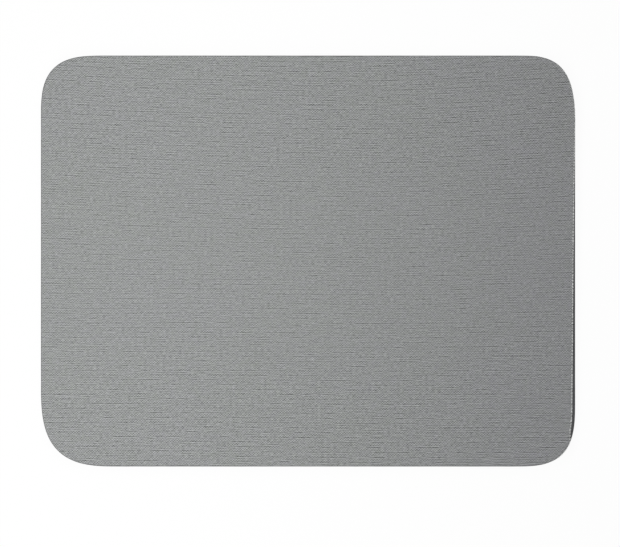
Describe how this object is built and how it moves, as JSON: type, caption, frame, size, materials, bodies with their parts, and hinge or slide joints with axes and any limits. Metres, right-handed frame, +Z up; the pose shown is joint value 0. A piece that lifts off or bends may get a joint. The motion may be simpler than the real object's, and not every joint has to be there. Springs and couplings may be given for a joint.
{
  "type": "mouse pad",
  "caption": "Flat rectangular mouse pad with rounded corners: a grey knitted cloth face bonded to a dark die-cut foam base that grips the desk.",
  "frame": {"origin": "on the table, under the middle of the pad's outline", "axes": "+X along the long side to the user's right, +Y along the short side to the rear edge, +Z up out of the cloth face"},
  "size_m": [0.26, 0.2, 0.006],
  "materials": {
    "foam": "matt grey closed-cell foam rubber with fine cut cells on the wall",
    "adhesive": "thin dark hot-melt film",
    "cloth": "matt cool grey knitted polyester with fine ribs along the long side"
  },
  "bodies": {
    "root": {"foam_base": "foam", "bond_film": "adhesive", "top_cloth": "cloth"}
  },
  "joints": []
}
